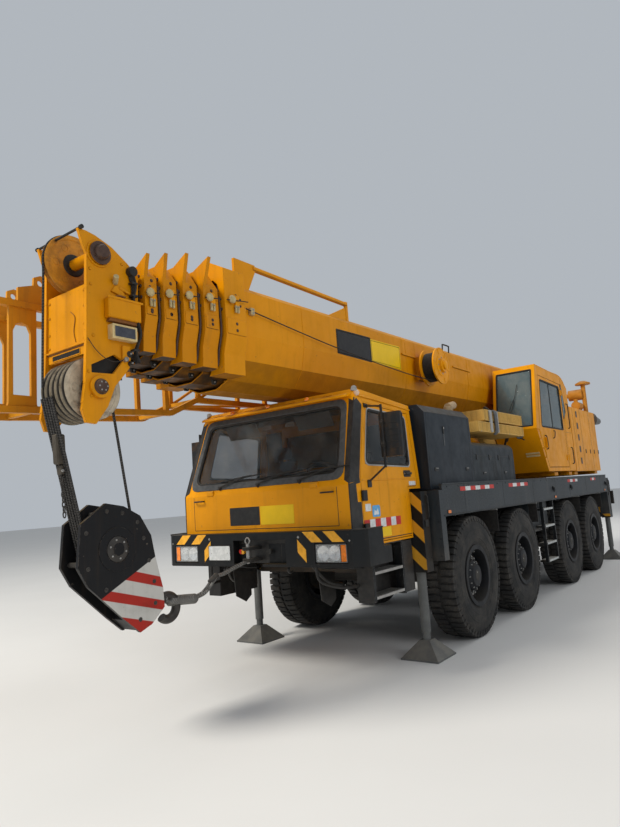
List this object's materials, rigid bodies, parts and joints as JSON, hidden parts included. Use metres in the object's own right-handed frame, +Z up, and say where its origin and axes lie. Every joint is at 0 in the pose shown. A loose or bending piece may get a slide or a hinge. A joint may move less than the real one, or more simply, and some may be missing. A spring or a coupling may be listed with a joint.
{
  "type": "four-axle telescopic mobile crane",
  "caption": "Road-going mobile crane: four-axle carrier with driver's cab and jacks, slewing upper with operator cab, luffing telescopic boom, sheave head, hook block and folded jib.",
  "frame": {"origin": "on the ground under the middle of the stowed crane", "axes": "+X forward along the stowed boom, +Y to the driver's left, +Z up"},
  "size_m": [12.7238, 2.884, 3.9983],
  "materials": {
    "crane_yellow": "semi-gloss",
    "frame_dark": "satin",
    "black_paint": "satin",
    "axle_grey": "matt",
    "wheel": "matt",
    "clear_glass": "clear",
    "seat_cloth": "matt",
    "dash_plastic": "matt",
    "lamp_lens": "gloss",
    "steel": "worn",
    "sheave_nylon": "worn",
    "boom_grease": "semi-gloss",
    "rope": "oily",
    "hook_paint": "matt",
    "engine_iron": "matt",
    "ladder_alu": "dull"
  },
  "bodies": {
    "carrier": {"chassis_frame": "frame_dark", "deck": "frame_dark", "axles": "axle_grey", "cab_shell": "crane_yellow", "cab_glass": "clear_glass", "cab_seats": "seat_cloth", "dashboard": "dash_plastic", "front_bumper": "black_paint", "lamps": "lamp_lens", "ladders": "ladder_alu", "engine_hood": "frame_dark", "carrier_engine": "engine_iron", "toolboxes": "black_paint"},
    "beam_front_left": {"outrigger_beam_front_left": "frame_dark"},
    "jack_front_left": {"jack_front_left": "steel"},
    "beam_front_right": {"outrigger_beam_front_right": "frame_dark"},
    "jack_front_right": {"jack_front_right": "steel"},
    "beam_rear_left": {"outrigger_beam_rear_left": "frame_dark"},
    "jack_rear_left": {"jack_rear_left": "steel"},
    "beam_rear_right": {"outrigger_beam_rear_right": "frame_dark"},
    "jack_rear_right": {"jack_rear_right": "steel"},
    "wheel_1_left": {"wheel_1_left": "wheel"},
    "knuckle_1_left": {"knuckle_1_left": "axle_grey"},
    "wheel_1_right": {"wheel_1_right": "wheel"},
    "knuckle_1_right": {"knuckle_1_right": "axle_grey"},
    "wheel_2_left": {"wheel_2_left": "wheel"},
    "knuckle_2_left": {"knuckle_2_left": "axle_grey"},
    "wheel_2_right": {"wheel_2_right": "wheel"},
    "knuckle_2_right": {"knuckle_2_right": "axle_grey"},
    "wheel_3_left": {"wheel_3_left": "wheel"},
    "wheel_3_right": {"wheel_3_right": "wheel"},
    "wheel_4_left": {"wheel_4_left": "wheel"},
    "wheel_4_right": {"wheel_4_right": "wheel"},
    "door_left": {"cab_door_left": "crane_yellow"},
    "door_right": {"cab_door_right": "crane_yellow"},
    "upper": {"turntable": "crane_yellow", "house": "crane_yellow", "intake_and_muffler": "black_paint", "crane_cab_shell": "crane_yellow", "crane_cab_glass": "clear_glass", "crane_seat": "seat_cloth", "oil_coolers": "crane_yellow"},
    "crane_door": {"crane_cab_door": "crane_yellow"},
    "winch_drum": {"winch_drum": "axle_grey"},
    "boom": {"boom_base": "crane_yellow", "jib": "crane_yellow"},
    "luff_barrel": {"luff_barrel": "crane_yellow"},
    "luff_rod": {"luff_rod": "steel"},
    "boom_1": {"boom_section_1": "boom_grease"},
    "boom_2": {"boom_section_2": "boom_grease"},
    "boom_3": {"boom_section_3": "boom_grease"},
    "boom_4": {"boom_section_4": "boom_grease"},
    "boom_5": {"boom_section_5": "boom_grease", "boom_head": "crane_yellow"},
    "top_sheave": {"top_sheave": "steel"},
    "lower_sheaves": {"lower_sheaves": "sheave_nylon"},
    "cable_reel": {"cable_reel": "crane_yellow"},
    "hook_block": {"hook_block": "hook_paint", "hoist_ropes": "rope"},
    "hook": {"hook": "steel"}
  },
  "joints": [
    {"name": "beam_front_left_slide", "type": "slide", "parent": "carrier", "child": "beam_front_left", "axis": [0, 1, 0], "range_m": [0, 1.5]},
    {"name": "jack_front_left_lift", "type": "slide", "parent": "beam_front_left", "child": "jack_front_left", "axis": [0, 0, 1], "range_m": [0, 0.5]},
    {"name": "beam_front_right_slide", "type": "slide", "parent": "carrier", "child": "beam_front_right", "axis": [0, -1, 0], "range_m": [0, 1.5]},
    {"name": "jack_front_right_lift", "type": "slide", "parent": "beam_front_right", "child": "jack_front_right", "axis": [0, 0, 1], "range_m": [0, 0.5]},
    {"name": "beam_rear_left_slide", "type": "slide", "parent": "carrier", "child": "beam_rear_left", "axis": [0, 1, 0], "range_m": [0, 1.5]},
    {"name": "jack_rear_left_lift", "type": "slide", "parent": "beam_rear_left", "child": "jack_rear_left", "axis": [0, 0, 1], "range_m": [0, 0.5]},
    {"name": "beam_rear_right_slide", "type": "slide", "parent": "carrier", "child": "beam_rear_right", "axis": [0, -1, 0], "range_m": [0, 1.5]},
    {"name": "jack_rear_right_lift", "type": "slide", "parent": "beam_rear_right", "child": "jack_rear_right", "axis": [0, 0, 1], "range_m": [0, 0.5]},
    {"name": "steer_1_left", "type": "hinge", "parent": "carrier", "child": "knuckle_1_left", "pos_m": [1.758, 0.93, 0.685], "axis": [0, 0, 1], "range_deg": [-28, 28]},
    {"name": "wheel_1_left_spin", "type": "hinge", "parent": "knuckle_1_left", "child": "wheel_1_left", "pos_m": [1.758, 1.1325, 0.685], "axis": [0, 1, 0], "continuous": true},
    {"name": "steer_1_right", "type": "hinge", "parent": "carrier", "child": "knuckle_1_right", "pos_m": [1.758, -0.93, 0.685], "axis": [0, 0, 1], "range_deg": [-28, 28]},
    {"name": "wheel_1_right_spin", "type": "hinge", "parent": "knuckle_1_right", "child": "wheel_1_right", "pos_m": [1.758, -1.1325, 0.685], "axis": [0, 1, 0], "continuous": true},
    {"name": "steer_2_left", "type": "hinge", "parent": "carrier", "child": "knuckle_2_left", "pos_m": [0.108, 0.93, 0.685], "axis": [0, 0, 1], "range_deg": [-21, 21]},
    {"name": "wheel_2_left_spin", "type": "hinge", "parent": "knuckle_2_left", "child": "wheel_2_left", "pos_m": [0.108, 1.1325, 0.685], "axis": [0, 1, 0], "continuous": true},
    {"name": "steer_2_right", "type": "hinge", "parent": "carrier", "child": "knuckle_2_right", "pos_m": [0.108, -0.93, 0.685], "axis": [0, 0, 1], "range_deg": [-21, 21]},
    {"name": "wheel_2_right_spin", "type": "hinge", "parent": "knuckle_2_right", "child": "wheel_2_right", "pos_m": [0.108, -1.1325, 0.685], "axis": [0, 1, 0], "continuous": true},
    {"name": "wheel_3_left_spin", "type": "hinge", "parent": "carrier", "child": "wheel_3_left", "pos_m": [-2.342, 1.1325, 0.685], "axis": [0, 1, 0], "continuous": true},
    {"name": "wheel_3_right_spin", "type": "hinge", "parent": "carrier", "child": "wheel_3_right", "pos_m": [-2.342, -1.1325, 0.685], "axis": [0, 1, 0], "continuous": true},
    {"name": "wheel_4_left_spin", "type": "hinge", "parent": "carrier", "child": "wheel_4_left", "pos_m": [-3.992, 1.1325, 0.685], "axis": [0, 1, 0], "continuous": true},
    {"name": "wheel_4_right_spin", "type": "hinge", "parent": "carrier", "child": "wheel_4_right", "pos_m": [-3.992, -1.1325, 0.685], "axis": [0, 1, 0], "continuous": true},
    {"name": "cab_door_left_hinge", "type": "hinge", "parent": "carrier", "child": "door_left", "pos_m": [3.808, 1.116, 1.8], "axis": [0, 0, -1], "range_deg": [0, 70]},
    {"name": "cab_door_right_hinge", "type": "hinge", "parent": "carrier", "child": "door_right", "pos_m": [3.808, -1.116, 1.8], "axis": [0, 0, 1], "range_deg": [0, 70]},
    {"name": "slew", "type": "hinge", "parent": "carrier", "child": "upper", "pos_m": [-3.162, 0, 1.79], "axis": [0, 0, 1], "continuous": true},
    {"name": "crane_cab_door_hinge", "type": "hinge", "parent": "upper", "child": "crane_door", "pos_m": [-2.972, 1.265, 2.7], "axis": [0, 0, 1], "range_deg": [0, 80]},
    {"name": "winch_turn", "type": "hinge", "parent": "upper", "child": "winch_drum", "pos_m": [-5.122, 0, 2.33], "axis": [0, 1, 0], "continuous": true},
    {"name": "luff", "type": "hinge", "parent": "upper", "child": "boom", "pos_m": [-5.292, 0, 3.2], "axis": [0, -1, 0], "range_deg": [0, 82]},
    {"name": "luff_cylinder_tilt", "type": "hinge", "parent": "upper", "child": "luff_barrel", "pos_m": [-4.292, 0, 2.15], "axis": [0, -1, 0], "range_deg": [0, 82]},
    {"name": "luff_cylinder_stroke", "type": "slide", "parent": "luff_barrel", "child": "luff_rod", "axis": [0.9952, 0, 0.0976], "range_m": [0, 2]},
    {"name": "telescope_1", "type": "slide", "parent": "boom", "child": "boom_1", "axis": [0.9999, 0, -0.014], "range_m": [0, 7.7]},
    {"name": "telescope_2", "type": "slide", "parent": "boom_1", "child": "boom_2", "axis": [0.9999, 0, -0.014], "range_m": [0, 7.7]},
    {"name": "telescope_3", "type": "slide", "parent": "boom_2", "child": "boom_3", "axis": [0.9999, 0, -0.014], "range_m": [0, 7.7]},
    {"name": "telescope_4", "type": "slide", "parent": "boom_3", "child": "boom_4", "axis": [0.9999, 0, -0.014], "range_m": [0, 7.7]},
    {"name": "telescope_5", "type": "slide", "parent": "boom_4", "child": "boom_5", "axis": [0.9999, 0, -0.014], "range_m": [0, 7.7]},
    {"name": "top_sheave_spin", "type": "hinge", "parent": "boom_5", "child": "top_sheave", "pos_m": [6.018, -0.071, 3.679], "axis": [0, 1, 0], "continuous": true},
    {"name": "lower_sheaves_spin", "type": "hinge", "parent": "boom_5", "child": "lower_sheaves", "pos_m": [6.041, 0.06, 2.63], "axis": [0, 1, 0], "continuous": true},
    {"name": "cable_reel_spin", "type": "hinge", "parent": "boom", "child": "cable_reel", "pos_m": [1.008, 0.67, 3.36], "axis": [0, 1, 0], "continuous": true},
    {"name": "hook_block_hang", "type": "hinge", "parent": "boom_5", "child": "hook_block", "pos_m": [6.041, 0, 2.63], "axis": [0, -1, 0], "range_deg": [-57.4, 0]},
    {"name": "hook_swivel", "type": "hinge", "parent": "hook_block", "child": "hook", "pos_m": [5.238, 0, 0.88], "axis": [-0.8291, 0, -0.5591], "continuous": true}
  ],
  "couplings": [
    {"joint": "steer_1_right", "follows": "steer_1_left", "ratio": 1},
    {"joint": "steer_2_left", "follows": "steer_1_left", "ratio": 0.75},
    {"joint": "steer_2_right", "follows": "steer_1_left", "ratio": 0.75},
    {"joint": "luff_cylinder_tilt", "follows": "luff", "ratio": 0.99},
    {"joint": "luff_cylinder_stroke", "follows": "luff", "m_per_rad": 1.37},
    {"joint": "telescope_2", "follows": "telescope_1", "ratio": 1},
    {"joint": "telescope_3", "follows": "telescope_1", "ratio": 1},
    {"joint": "telescope_4", "follows": "telescope_1", "ratio": 1},
    {"joint": "telescope_5", "follows": "telescope_1", "ratio": 1},
    {"joint": "hook_block_hang", "follows": "luff", "ratio": -0.7}
  ]
}
